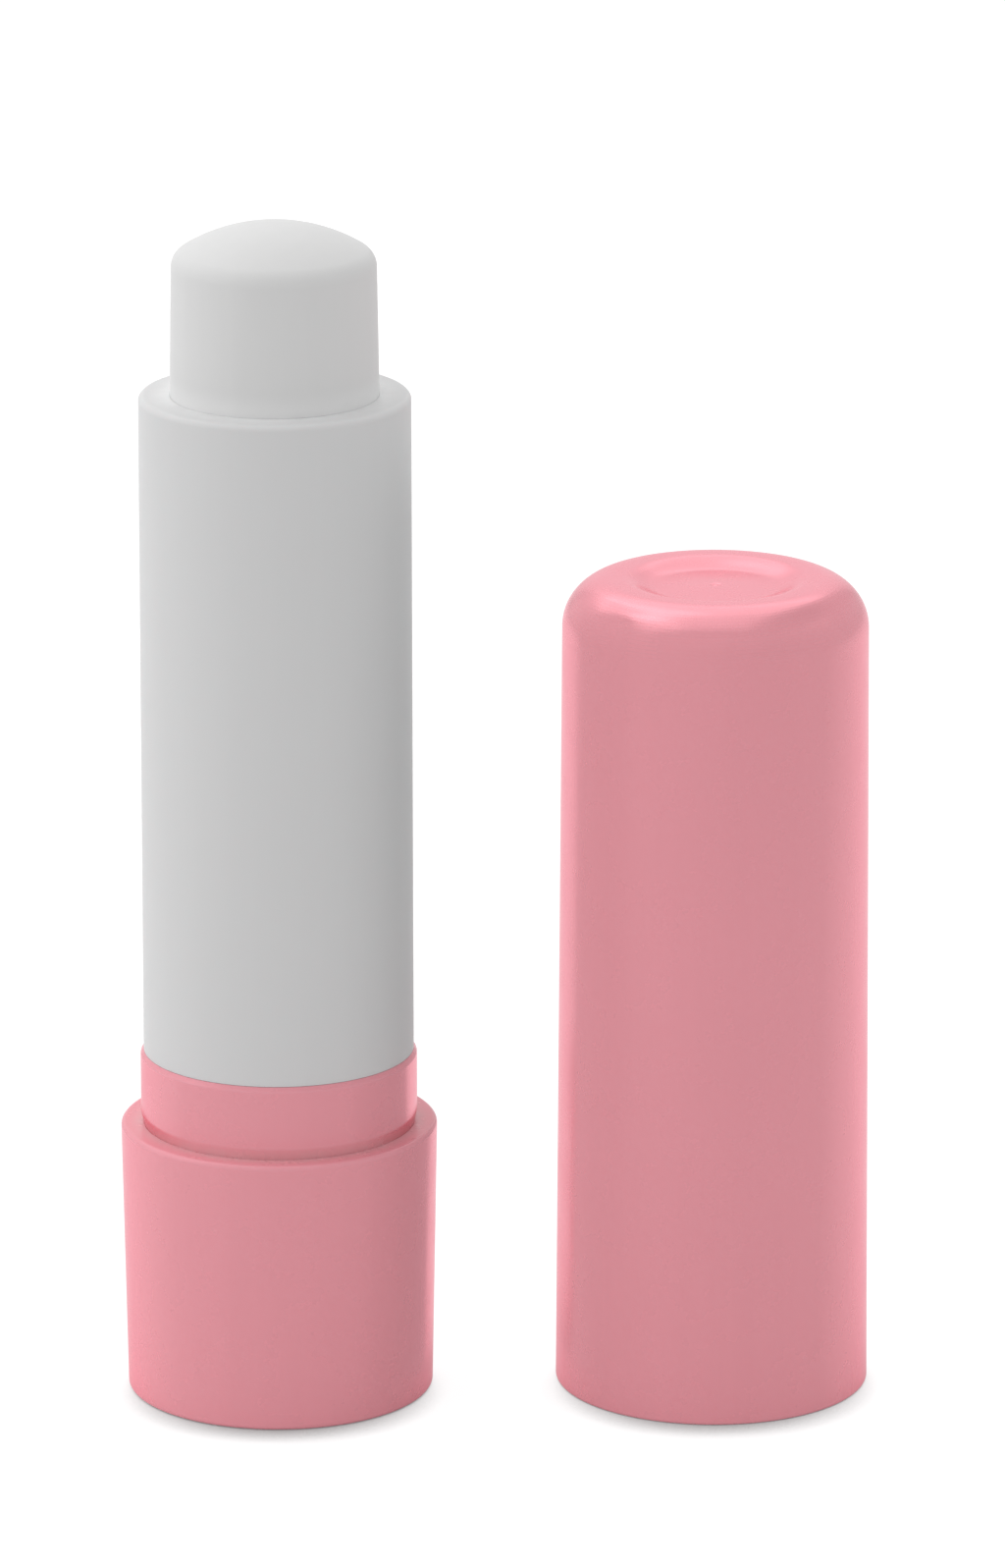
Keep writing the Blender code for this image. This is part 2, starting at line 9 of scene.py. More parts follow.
import bpy
import numpy as np
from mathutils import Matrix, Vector


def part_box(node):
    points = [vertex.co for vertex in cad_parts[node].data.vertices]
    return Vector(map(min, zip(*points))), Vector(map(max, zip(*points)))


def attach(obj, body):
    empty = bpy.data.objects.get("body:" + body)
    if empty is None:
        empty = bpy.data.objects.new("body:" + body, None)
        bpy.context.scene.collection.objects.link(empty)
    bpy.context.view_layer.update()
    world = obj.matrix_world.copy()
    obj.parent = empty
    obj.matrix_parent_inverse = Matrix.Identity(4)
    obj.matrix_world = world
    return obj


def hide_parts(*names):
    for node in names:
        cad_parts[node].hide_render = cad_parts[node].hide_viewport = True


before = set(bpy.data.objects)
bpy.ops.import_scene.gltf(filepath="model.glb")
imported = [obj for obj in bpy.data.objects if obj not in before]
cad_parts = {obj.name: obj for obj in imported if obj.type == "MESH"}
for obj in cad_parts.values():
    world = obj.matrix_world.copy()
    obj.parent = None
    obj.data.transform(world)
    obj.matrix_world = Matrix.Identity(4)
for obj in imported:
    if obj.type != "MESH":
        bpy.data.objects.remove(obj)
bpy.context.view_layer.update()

MM = 0.001

# Knob
# The pink cup at the foot, which the fingers turn. It is one injection moulding: a wall that
# leans out a little so that it leaves the mould, a lip that snaps round the collar, a ledge that
# the collar stands on, and a ribbed hub that grips the screw's hexagonal root.
knob_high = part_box("knob")[1]
knob_top_radius = knob_high.x
knob_top = knob_high.z
knob_draft = 0.32 * MM
knob_bore = 8.655 * MM
knob_lip_radius = 8.5 * MM
knob_lip = 0.25 * MM
knob_foot_round = 0.3 * MM
knob_rim_round = 0.28 * MM
knob_lip_round = 0.03 * MM
knob_inner_round = 0.4 * MM
knob_ledge = 9.0 * MM
knob_ledge_bore = 8.14 * MM
knob_floor = 1.5 * MM
hub_radius = 3.4 * MM
hub_top = 10.3 * MM
hub_round = 0.1 * MM
socket_radius = 2.3 * MM
rib_top = 6.5 * MM
rib_half_thickness = 0.4 * MM
rib_count = 6
hair = 0.01 * MM  # too small to see: rows that lie closer than this count as one


def rounded(corners, steps=12):
    """The outline through (radius, height, fillet) corners, with an arc in place of each corner.

    An arc of fillet f at a corner of angle a touches both runs at f / tan(a / 2) from the
    corner, and its centre lies on the bisector at f / sin(a / 2). A point on the arc is its two
    end points mixed by sines, as on any circle.
    """
    points = []
    ahead, behind = corners[1:] + corners[:1], corners[-1:] + corners[:-1]
    for before, corner, after in zip(behind, corners, ahead):
        tip, fillet = np.array(corner[:2]), corner[2]
        if fillet == 0:
            points.append(tip[None])
            continue
        back = (np.array(before[:2]) - tip) / math.dist(before[:2], tip)
        onward = (np.array(after[:2]) - tip) / math.dist(after[:2], tip)
        half = math.acos(back @ onward) / 2
        centre = tip + (back + onward) / np.linalg.norm(back + onward) * fillet / math.sin(half)
        first = tip + back * fillet / math.tan(half) - centre
        last = tip + onward * fillet / math.tan(half) - centre
        turn = math.pi - 2 * half
        share = np.linspace(0, 1, steps + 1)[:, None]
        swept = np.sin((1 - share) * turn) * first + np.sin(share * turn) * last
        points.append(centre + swept / math.sin(turn))
    return np.concatenate(points)


def divided(outline, ring, pitch=1.0 * MM, edge=0.06 * MM):
    """The outline with points added along its straight runs, no further apart than pitch.

    A run also gets a point close to each end, so that smooth shading keeps it flat right up to
    its fillets.
    """
    ends = np.roll(outline, -1, axis=0) if ring else outline[1:]
    parts = []
    for start, end in zip(outline, ends):
        length = math.dist(start, end)
        if length < 3 * edge:
            parts.append(start[None])
            continue
        inner = np.linspace(edge, length - edge, max(2, math.ceil(length / pitch) + 1))
        along = np.concatenate([[0.0], inner])[:, None] / length
        parts.append(start + (end - start) * along)
    if not ring:
        parts.append(outline[-1:])
    return np.concatenate(parts)


def spun(outline, columns=288):
    """The grid of a turned shape: row i, column j holds radius r_i, angle t_j and height z_i."""
    angle = np.linspace(0, 2 * math.pi, columns, endpoint=False)
    radius, height = outline[:, :1], outline[:, 1:]
    return np.stack([radius * np.cos(angle), radius * np.sin(angle), height + 0 * angle], axis=-1)


def around(count, offset=0.0, columns=288):
    """Each column's angle from the nearest of count equal places round the axis."""
    angle = np.linspace(0, 2 * math.pi, columns, endpoint=False)
    apart = 2 * math.pi / count
    return np.abs((angle - offset + apart / 2) % apart - apart / 2)


crease_angle = math.radians(38)


def skin(name, grid, outline, ring):
    """A closed, smooth mesh over a grid whose columns wrap round.

    Rows wrap too where the outline is a ring. Otherwise the first and last rows lie on the
    axis, and each becomes one point with a fan of triangles. The rim attribute says how sharply
    the outline bends outwards at each row: the turn from run to run over the length of both
    runs, where one radian in a millimetre is 0.5, held between 0 and 1.
    """
    index = np.arange(grid.shape[0] * grid.shape[1]).reshape(grid.shape[:2])
    if not ring:
        index[0], index[-1] = index[0, 0], index[-1, 0]
    here, above = (index, np.roll(index, -1, axis=0)) if ring else (index[:-1], index[1:])
    here_next, above_next = np.roll(here, -1, axis=1), np.roll(above, -1, axis=1)
    corners = np.stack([here, here_next, above_next, above], axis=-1).reshape(-1, 4)
    used, packed = np.unique(corners, return_inverse=True)
    packed = packed.reshape(-1, 4)
    fan_up = packed[packed[:, 0] == packed[:, 1]][:, [0, 2, 3]]
    fan_down = packed[packed[:, 2] == packed[:, 3]][:, [0, 1, 2]]
    quads = packed[(packed[:, 0] != packed[:, 1]) & (packed[:, 2] != packed[:, 3])]
    faces = quads.tolist() + fan_up.tolist() + fan_down.tolist()
    mesh = bpy.data.meshes.new(name)
    mesh.from_pydata(grid.reshape(-1, 3)[used], [], faces)

    ahead = np.roll(outline, -1, axis=0) - outline
    behind = outline - np.roll(outline, 1, axis=0)
    turn = behind[:, 0] * ahead[:, 1] - behind[:, 1] * ahead[:, 0]
    bend = np.arctan2(turn, (behind * ahead).sum(axis=1))
    reach = np.linalg.norm(ahead, axis=1) + np.linalg.norm(behind, axis=1)
    sharpness = np.clip(bend / np.maximum(reach, 2 * hair) * MM, 0, 1)
    at_points = np.repeat(sharpness, grid.shape[1])[used].astype(np.float32)
    mesh.attributes.new("rim", "FLOAT", "POINT").data.foreach_set("value", at_points)
    mesh.shade_smooth()
    mesh.set_sharp_from_angle(angle=crease_angle)
    piece = bpy.data.objects.new(name, mesh)
    bpy.context.scene.collection.objects.link(piece)
    return piece


def fitted(piece, node, body, material):
    """Puts the piece in the place of its CAD node, on its body, with its finish."""
    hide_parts(node)
    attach(piece, body)
    piece.data.materials.append(material)


knob_outline = divided(rounded([
    (0, 0, 0),
    (knob_top_radius - knob_draft, 0, knob_foot_round),
    (knob_top_radius, knob_top, knob_rim_round),
    (knob_lip_radius, knob_top, knob_lip_round),
    (knob_lip_radius, knob_top - knob_lip, 0),
    (knob_bore, knob_top - knob_lip, 0),
    (knob_bore, knob_ledge, 0),
    (knob_ledge_bore, knob_ledge, 0),
    (knob_ledge_bore, knob_floor, knob_inner_round),
    (hub_radius, knob_floor, knob_inner_round),
    (hub_radius, hub_top, hub_round),
    (socket_radius, hub_top, 0),
    (socket_radius, knob_floor, 0),
    (0, knob_floor, 0),
]), ring=False, pitch=0.5 * MM)
knob_grid = spun(knob_outline)

# The socket's wall is a hexagon with a corner on the X axis: its radius is the corner's, times
# cos(30 degrees) / cos(the angle from the middle of a flat).
hexagon = math.cos(math.pi / 6) / np.cos(around(6, offset=math.pi / 6))
radii, heights = knob_outline.T
socket_rows = (radii > 0) & (radii < socket_radius + hair)
knob_grid[socket_rows, :, :2] *= hexagon[:, None]

# Ribs join the hub to the wall: along each of them the floor is raised to the ribs' top. The rows
# that pass it on the walls stay a hair apart, so that no face is flat.
rib_rows_apart = 0.001
floor_rows = (radii > hub_radius - hair) & (radii < knob_ledge_bore + hair)
floor_rows &= (heights > knob_floor / 2) & (heights < rib_top)
from_axis = np.linalg.norm(knob_grid[..., :2], axis=-1)
off_rib = from_axis * np.sin(around(rib_count, offset=math.pi / rib_count))
on_rib = floor_rows[:, None] & (off_rib < rib_half_thickness)
raised = rib_top + rib_rows_apart * (knob_grid[..., 2] - rib_top)
knob_grid[..., 2] = np.where(on_rib, raised, knob_grid[..., 2])
knob = skin("knob_moulding", knob_grid, knob_outline, ring=False)


def node(tree, kind, inputs=(), **settings):
    """A node with its settings, and each named input set to a value or fed by another socket."""
    made = tree.nodes.new(kind)
    for key, value in settings.items():
        setattr(made, key, value)
    for key, value in dict(inputs).items():
        if isinstance(value, bpy.types.NodeSocket):
            tree.links.new(value, made.inputs[key])
        else:
            made.inputs[key].default_value = value
    return made


def worked(tree, operation, *values, clamp=False):
    """The result of a Math node over up to three values, each a number or another socket."""
    inputs = dict(enumerate(values))
    return node(tree, "ShaderNodeMath", inputs, operation=operation, use_clamp=clamp).outputs[0]


def mapped(tree, value, start, end, low=0.0, high=1.0, curve="LINEAR"):
    """The value carried from the range start to end into low to high, and held at both ends.

    The curve between the ends is a straight line, or smoothstep: 3 * t squared - 2 * t cubed.
    """
    inputs = {"Value": value, "From Min": start, "From Max": end, "To Min": low, "To Max": high}
    return node(tree, "ShaderNodeMapRange", inputs, interpolation_type=curve).outputs[0]


def blended(tree, mask, plain, other):
    """The plain colour where the mask is 0, and the other one where it is 1."""
    return node(tree, "ShaderNodeMix", {0: mask, 6: plain, 7: other}, data_type="RGBA").outputs[2]


def noise(tree, place, scale, detail, **more):
    """A noise texture's value at a place, with scale waves to each unit of length."""
    inputs = {"Vector": place, "Scale": scale, "Detail": detail, **more}
    return node(tree, "ShaderNodeTexNoise", inputs).outputs["Fac"]


def group_of(name, inputs, outputs):
    """An empty shader group with named sockets: (tree, the values given, the values put out)."""
    tree = bpy.data.node_groups.new(name, "ShaderNodeTree")
    for label, kind, value in inputs:
        tree.interface.new_socket(label, in_out="INPUT", socket_type=kind).default_value = value
    for label, kind in outputs:
        tree.interface.new_socket(label, in_out="OUTPUT", socket_type=kind)
    return tree, tree.nodes.new("NodeGroupInput").outputs, tree.nodes.new("NodeGroupOutput").inputs


def moulded_surface():
    """What every moulding here shows: its tone, its rubbed rims and its grain.

    Colour = the given one * (1 + Variation * (slow clouds + upright flow streaks - 1)), mixed
    towards Worn Lit Rim Tone by a rim mask. The rim mask = how the outline bends * a smudge
    noise * Rim Wear And Highlight: the rounded edges are rubbed, and partly a painted highlight.
    Roughness = the given one + Smudges * the same noise, stretched to 0 to 1, less a polish on
    the rims. Height = a fine grain + a slow wave of wave_share times its height.
    """
    cloud_scale = 110.0
    streak_scale = (900.0, 900.0, 28.0)
    smudge_scale = 260.0
    smudge_start, smudge_end = 0.4, 0.65
    grain_scale = 5200.0
    wave_scale = 190.0
    wave_share = 6.0
    rim_polish = -0.15
    tree, given, out = group_of(
        "moulded_surface",
        [
            ("Colour", "NodeSocketColor", (1, 1, 1, 1)),
            ("Variation", "NodeSocketFloat", 0.03),
            ("Roughness", "NodeSocketFloat", 0.4),
            ("Smudges", "NodeSocketFloat", 0.05),
            ("Worn Lit Rim Tone", "NodeSocketColor", (1, 1, 1, 1)),
            ("Rim Wear And Highlight", "NodeSocketFloat", 0.1),
        ],
        [
            ("Colour", "NodeSocketColor"),
            ("Roughness", "NodeSocketFloat"),
            ("Height", "NodeSocketFloat"),
        ],
    )
    place = node(tree, "ShaderNodeTexCoord").outputs["Object"]
    drawn = node(tree, "ShaderNodeMapping", {"Vector": place, "Scale": streak_scale}).outputs[0]
    clouds = noise(tree, place, cloud_scale, detail=3.0)
    streaks = noise(tree, drawn, 1.0, detail=4.0)
    both = worked(tree, "ADD", clouds, streaks)
    centred = worked(tree, "SUBTRACT", both, 1.0)
    tone = worked(tree, "MULTIPLY_ADD", centred, given["Variation"], 1.0)
    shaded = node(tree, "ShaderNodeVectorMath", {0: given["Colour"], 1: tone}, operation="MULTIPLY")

    smudge = noise(tree, place, smudge_scale, detail=6.0, Roughness=0.6)
    bend = node(tree, "ShaderNodeAttribute", attribute_name="rim").outputs["Fac"]
    patchy = worked(tree, "MULTIPLY", bend, smudge)
    worn_and_lit = worked(tree, "MULTIPLY", patchy, given["Rim Wear And Highlight"], clamp=True)
    colour = blended(tree, worn_and_lit, shaded.outputs[0], given["Worn Lit Rim Tone"])
    handled = mapped(tree, smudge, smudge_start, smudge_end)
    rough = worked(tree, "MULTIPLY_ADD", handled, given["Smudges"], given["Roughness"])
    polished = worked(tree, "MULTIPLY_ADD", worn_and_lit, rim_polish, rough)

    grain = noise(tree, place, grain_scale, detail=2.0)
    wave = noise(tree, place, wave_scale, detail=1.0)
    height = worked(tree, "MULTIPLY_ADD", wave, wave_share, grain)
    tree.links.new(colour, out["Colour"])
    tree.links.new(polished, out["Roughness"])
    tree.links.new(height, out["Height"])
    return tree


surface_group = moulded_surface()


def plastic(name, colour, worn_lit_rim_tone, roughness, variation=0.03, smudges=0.05, rim_wear_and_highlight=0.3,
            gloss=0.1, scatter=0.1, spread=(0.8, 0.5, 0.5), tint=(1, 1, 1)):
    """Satin moulded plastic: the surface group feeds a Principled shader that lets light in a little.

    Gloss and tint are the strength and colour of its shine. Scatter is the share of light that
    goes in, and spread is how far red, green and blue light travel inside, in millimetres.
    """
    grain_depth = 0.0018 * MM
    grain_strength = 0.5
    refraction = 1.5
    material = bpy.data.materials.new(name)
    material.use_nodes = True
    tree = material.node_tree
    shader = tree.nodes["Principled BSDF"]
    surface = node(tree, "ShaderNodeGroup", node_tree=surface_group)
    surface.inputs["Colour"].default_value = (*colour, 1)
    surface.inputs["Worn Lit Rim Tone"].default_value = (*worn_lit_rim_tone, 1)
    surface.inputs["Roughness"].default_value = roughness
    surface.inputs["Variation"].default_value = variation
    surface.inputs["Smudges"].default_value = smudges
    surface.inputs["Rim Wear And Highlight"].default_value = rim_wear_and_highlight
    relief = {"Height": surface.outputs["Height"], "Strength": grain_strength, "Distance": grain_depth}
    bump = node(tree, "ShaderNodeBump", relief)
    tree.links.new(surface.outputs["Colour"], shader.inputs["Base Color"])
    tree.links.new(surface.outputs["Roughness"], shader.inputs["Roughness"])
    tree.links.new(bump.outputs["Normal"], shader.inputs["Normal"])
    shader.inputs["IOR"].default_value = refraction
    shader.inputs["Specular IOR Level"].default_value = gloss
    shader.inputs["Specular Tint"].default_value = (*tint, 1)
    shader.inputs["Subsurface Weight"].default_value = scatter
    shader.inputs["Subsurface Radius"].default_value = spread
    shader.inputs["Subsurface Scale"].default_value = MM
    return material


def recolour(material, colour):
    """Feeds the surface group's colour from another socket of the same material."""
    groups = [each for each in material.node_tree.nodes if each.type == "GROUP"]
    surface = next(each for each in groups if each.node_tree == surface_group)
    material.node_tree.links.new(colour, surface.inputs["Colour"])


def ring_mask():
    """How close a point lies to a circle round the stick's axis: 1 on it, falling to 0 at Reach.

    The distance is the length of (radius - Radius, height - Height), and the fall is smoothstep.
    """
    tree, given, out = group_of(
        "ring_mask",
        [
            ("Radius", "NodeSocketFloat", 0.01),
            ("Height", "NodeSocketFloat", 0.0),
            ("Reach", "NodeSocketFloat", 0.001),
        ],
        [("Mask", "NodeSocketFloat")],
    )
    place = node(tree, "ShaderNodeTexCoord").outputs["Object"]
    across = node(tree, "ShaderNodeVectorMath", {0: place, 1: (1, 1, 0)}, operation="MULTIPLY")
    radius = node(tree, "ShaderNodeVectorMath", {0: across.outputs[0]}, operation="LENGTH")
    height = node(tree, "ShaderNodeSeparateXYZ", {"Vector": place})
    outward = worked(tree, "SUBTRACT", radius.outputs["Value"], given["Radius"])
    upward = worked(tree, "SUBTRACT", height.outputs["Z"], given["Height"])
    apart = node(tree, "ShaderNodeCombineXYZ", {"X": outward, "Y": upward}).outputs[0]
    distance = node(tree, "ShaderNodeVectorMath", {0: apart}, operation="LENGTH").outputs["Value"]
    mask = mapped(tree, distance, 0.0, given["Reach"], low=1.0, high=0.0, curve="SMOOTHSTEP")
    tree.links.new(mask, out["Mask"])
    return tree


ring_group = ring_mask()


def toned_ring(material, plain, other, radius, height, reach, patches):
    """Turns the colour from plain to other close to a circle, and by less in some spots.

    The mix is the ring's mask times a share that a noise moves between 1 - patches and 1.
    """
    spot_scale = 700.0
    spot_start, spot_end = 0.35, 0.6
    tree = material.node_tree
    near = node(tree, "ShaderNodeGroup", node_tree=ring_group)
    for label, value in (("Radius", radius), ("Height", height), ("Reach", reach)):
        near.inputs[label].default_value = value
    place = node(tree, "ShaderNodeTexCoord").outputs["Object"]
    spots = noise(tree, place, spot_scale, detail=4.0)
    cover = mapped(tree, spots, spot_start, spot_end, low=1.0 - patches)
    mask = worked(tree, "MULTIPLY", near.outputs["Mask"], cover)
    recolour(material, blended(tree, mask, (*plain, 1), (*other, 1)))


least_flakes = 0.05


def pearled(material, level_share):
    """Gives a plastic fine flakes that lie along its walls, and shine in its own colour.

    Slant = 1 - the cosine of the viewing angle, so flakes seen square on hardly show. On a wall
    their share is the slant, stretched to 0 to 1, times 1 - |the normal's Z|. It is never less
    than a level share, which goes from the least one to level_share as a face turns upwards.
    """
    slant_start, slant_end = 0.3, 0.72
    upward_start, upward_end = 0.5, 0.8
    tree = material.node_tree
    slant = node(tree, "ShaderNodeLayerWeight", {"Blend": 0.5}).outputs["Facing"]
    normal = node(tree, "ShaderNodeNewGeometry").outputs["Normal"]
    upward = node(tree, "ShaderNodeSeparateXYZ", {"Vector": normal}).outputs["Z"]
    upright = worked(tree, "SUBTRACT", 1.0, worked(tree, "ABSOLUTE", upward))
    on_walls = worked(tree, "MULTIPLY", mapped(tree, slant, slant_start, slant_end), upright)
    on_top = mapped(tree, upward, upward_start, upward_end, low=least_flakes, high=level_share)
    share = worked(tree, "MAXIMUM", on_walls, on_top)
    tree.links.new(share, tree.nodes["Principled BSDF"].inputs["Metallic"])


# pale_pink is the rims' tone: rubbed paler, and partly a painted highlight.
pink = (0.84, 0.342, 0.392)
pale_pink = (0.88, 0.42, 0.48)
pink_gloss = (1.0, 0.8, 0.84)


def pink_plastic(name, level_share=least_flakes):
    """The stick's pearly pink, with level_share of the flakes showing on level faces."""
    material = plastic(name, pink, pale_pink, roughness=0.25, gloss=0.15, tint=pink_gloss)
    pearled(material, level_share)
    return material


knob_pink = pink_plastic("knob_pink_plastic")

# Painted shade: a greyer pink, in patches, in the valley between the knob's rim and the collar.
shade_grey_pink = (0.80, 0.43, 0.46)
valley = (knob_lip_radius, knob_top, 1.0 * MM)
toned_ring(knob_pink, pink, shade_grey_pink, *valley, patches=0.3)
fitted(knob, "knob", "knob_body", knob_pink)

# Lead screw
# A coarse left-hand screw in natural plastic, moulded in one with its thrust flange and the
# hexagonal root that is pressed into the knob's socket. Only its finish is set here.
natural = (0.70, 0.70, 0.68)
natural_plastic = plastic("natural_plastic", natural, natural, roughness=0.5, variation=0.05,
                          smudges=0.1)
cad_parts["lead_screw"].material_slots[0].material = natural_plastic

# Collar
# A pink ring pressed into the knob's mouth, whose lip holds it by a groove. Above the knob it
# stands a hair proud of the barrel for the cap to grip, and there its foot is rounded inwards,
# which leaves a soft shadow line over the knob's rim.
collar_low, collar_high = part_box("collar")
collar_radius = collar_high.x
collar_bore = 7.62 * MM
collar_neck_radius = knob_lip_radius + 0.005 * MM
collar_neck_foot = knob_top - knob_lip - 2 * hair
collar_neck_top = knob_top + 2 * hair
collar_neck_round = 2 * hair
collar_lean_height = 0.7 * MM
collar_lean_round = 1.2 * MM
collar_lip_drop = 0.28 * MM
collar_lip_round = 0.2 * MM
collar_top_round = 0.04 * MM
collar_lead_in = 0.3 * MM
barrel_foot_radius = collar_radius - 0.2 * MM
bead_height = 13.35 * MM
bead_depth = 0.2 * MM
bead_reach = 0.5 * MM
groove_reach = 0.7 * MM

collar_outline = divided(rounded([
    (collar_bore, collar_low.z, 0),
    (collar_radius - collar_lead_in, collar_low.z, 0),
    (collar_radius, collar_low.z + collar_lead_in, 0),
    (collar_radius, collar_neck_foot, 0),
    (collar_neck_radius, collar_neck_foot, 0),
    (collar_neck_radius, collar_neck_top, collar_neck_round),
    (collar_radius, knob_top + collar_lean_height, collar_lean_round),
    (collar_radius, collar_high.z - collar_lip_drop, collar_lip_round),
    (barrel_foot_radius, collar_high.z, collar_top_round),
    (collar_bore, collar_high.z, 0),
    (collar_bore, bead_height + groove_reach, 0),
    (collar_bore + bead_depth, bead_height + bead_reach, 0),
    (collar_bore + bead_depth, bead_height - bead_reach, 0),
    (collar_bore, bead_height - groove_reach, 0),
]), ring=True)
collar = skin("collar_ring", spun(collar_outline), collar_outline, ring=True)
collar_pink = pink_plastic("collar_pink_plastic")
# The same painted shade greys the collar's foot in that valley.
toned_ring(collar_pink, pink, shade_grey_pink, *valley, patches=0.3)
fitted(collar, "collar", "knob_body", collar_pink)

# Barrel
# The white tube. Its thick wall shows as a flat rim at the mouth, and a thinner spigot runs
# down inside the collar, where a bead snaps in. Four keyways inside stop the cup from turning.
barrel_low, barrel_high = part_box("barrel")
barrel_draft = 0.05 * MM
barrel_top_radius = barrel_foot_radius - barrel_draft
barrel_bore = 6.451 * MM
spigot_radius = 7.5 * MM
barrel_shoulder = collar_high.z + 0.015 * MM
barrel_shoulder_round = 0.03 * MM
barrel_mouth_round = 0.36 * MM
spigot_round = 0.1 * MM
keyway_radius = 6.91 * MM
keyway_half_width = 0.9 * MM
keyway_top = 55.21 * MM
keyway_count = 4

barrel_outline = divided(rounded([
    (barrel_bore, barrel_low.z, 0),
    (spigot_radius, barrel_low.z, spigot_round),
    (spigot_radius, bead_height - bead_reach, 0),
    (spigot_radius + bead_depth, bead_height, spigot_round),
    (spigot_radius, bead_height + bead_reach, 0),
    (spigot_radius, barrel_shoulder, 0),
    (barrel_foot_radius, barrel_shoulder, barrel_shoulder_round),
    (barrel_top_radius, barrel_high.z, barrel_mouth_round),
    (barrel_bore, barrel_high.z, 0),
    (barrel_bore, keyway_top + 2 * hair, 0),
    (barrel_bore, keyway_top, 0),
]), ring=True)
barrel_grid = spun(barrel_outline)
radii, heights = barrel_outline.T
bore_rows = (radii < barrel_bore + hair) & (heights < keyway_top + hair)
in_keyway = around(keyway_count, offset=math.pi / keyway_count) * barrel_bore < keyway_half_width
widened = np.where(bore_rows[:, None] & in_keyway, keyway_radius / barrel_bore, 1)
barrel_grid[..., :2] *= widened[..., None]
barrel = skin("barrel_tube", barrel_grid, barrel_outline, ring=True)
white = (0.685, 0.685, 0.687)
# pale_white is the rims' tone: rubbed paler, and partly a painted highlight.
pale_white = (0.72, 0.72, 0.72)
barrel_white = plastic("barrel_white_plastic", white, pale_white, roughness=0.4, variation=0.02)

# Patchy wax smears on the rim round the mouth, whose paler white is also painted light on its shade.
wax_smear_lift = (0.79, 0.79, 0.79)
mouth = (barrel_bore, barrel_high.z, 1.6 * MM)
toned_ring(barrel_white, white, wax_smear_lift, *mouth, patches=0.5)
fitted(barrel, "barrel", "barrel_body", barrel_white)

# Carrier cup
# The cup that the balm is cast in. Its nut runs on the lead screw and its keys in the barrel's
# keyways, so it climbs as the knob turns. Only its finish is set here.
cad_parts["carrier_cup"].material_slots[0].material = natural_plastic

# Balm
# White wax, poured in place and set against a mould that shapes its tip: a shallow dome with a
# soft shoulder. It tapers a little towards the tip, has a blind bore for the screw, and holds
# on by four lugs that filled the cup's slots.
balm_low, balm_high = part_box("balm")
balm_radius = balm_high.x
balm_tip_radius = 6.31 * MM
balm_tip_length = 8.7 * MM
dome_rise = 2.02 * MM
edge_round = 1.25 * MM
edge_rows = 16
dome_rows = 40
balm_bore = 2.7 * MM
balm_bore_end = balm_high.z - 6.4 * MM
cup_bore = 5.69 * MM
cup_rim = 32.35 * MM
cup_radius = 6.34 * MM
nut_radius = 3.6 * MM
nut_top = 28.45 * MM
cast_gap = 0.05 * MM
lug_half_width = 0.65 * MM
lug_foot = cup_rim - 2.95 * MM

# The dome is part of a sphere of radius (r * r + rise * rise) / (2 * rise), and the soft shoulder
# is an arc that touches the sphere from inside, where both have the same slope.
sphere = (balm_tip_radius**2 + dome_rise**2) / (2 * dome_rise)
sphere_centre = balm_high.z - sphere
inset = balm_tip_radius - edge_round
edge_centre = sphere_centre + math.sqrt((sphere - edge_round) ** 2 - inset**2)
meet = math.atan2(edge_centre - sphere_centre, inset)
edge_turn = np.linspace(0, meet, edge_rows + 1)
dome_turn = np.linspace(meet, math.pi / 2, dome_rows + 1)[1:]
edge = np.stack([np.cos(edge_turn), np.sin(edge_turn)], axis=1) * edge_round + (inset, edge_centre)
dome = np.stack([np.cos(dome_turn), np.sin(dome_turn)], axis=1) * sphere + (0, sphere_centre)
tip = np.concatenate([edge, dome])
tip[-1, 0] = 0
seat = rounded([
    (0, balm_bore_end, 0),
    (balm_bore, balm_bore_end, 0),
    (balm_bore, nut_top + cast_gap, 0),
    (nut_radius + cast_gap, nut_top + cast_gap, 0),
    (nut_radius + cast_gap, balm_low.z, 0),
    (cup_bore - cast_gap, balm_low.z, 0),
    (cup_bore - cast_gap, lug_foot - hair, 0),
    (cup_bore - cast_gap, lug_foot, 0),
    (cup_bore - cast_gap, cup_rim + cast_gap, 0),
    (balm_radius, cup_rim + cast_gap, 0),
    (balm_radius, tip[0, 1] - balm_tip_length, 0),
])
balm_outline = divided(np.concatenate([seat, tip]), ring=False)
balm_grid = spun(balm_outline)
radii, heights = balm_outline.T
lug_rows = (np.abs(radii - cup_bore + cast_gap) < hair) & (heights > lug_foot - hair / 2)
in_slot = around(keyway_count) * cup_radius < lug_half_width
widened = np.where(lug_rows[:, None] & in_slot, cup_radius / (cup_bore - cast_gap), 1)
balm_grid[..., :2] *= widened[..., None]
balm = skin("balm_bullet", balm_grid, balm_outline, ring=False)
wax = (0.715, 0.714, 0.713)
balm_wax = plastic("balm_wax", wax, wax, roughness=0.48, scatter=0.15, spread=(0.6, 0.6, 0.6))

# Painted light: the wax is paler at and below the mouth, fading out 1.7 mm above it, against the shade
# there.
mouth_lit_wax = (0.81, 0.81, 0.81)
lit_from = barrel_high.z + 1.7 * MM
tree = balm_wax.node_tree
place = node(tree, "ShaderNodeTexCoord").outputs["Object"]
height = node(tree, "ShaderNodeSeparateXYZ", {"Vector": place}).outputs["Z"]
mouth_light = mapped(tree, height, lit_from, barrel_high.z, curve="SMOOTHSTEP")
recolour(balm_wax, blended(tree, mouth_light, (*wax, 1), (*mouth_lit_wax, 1)))
fitted(balm, "balm", "carrier_body", balm_wax)

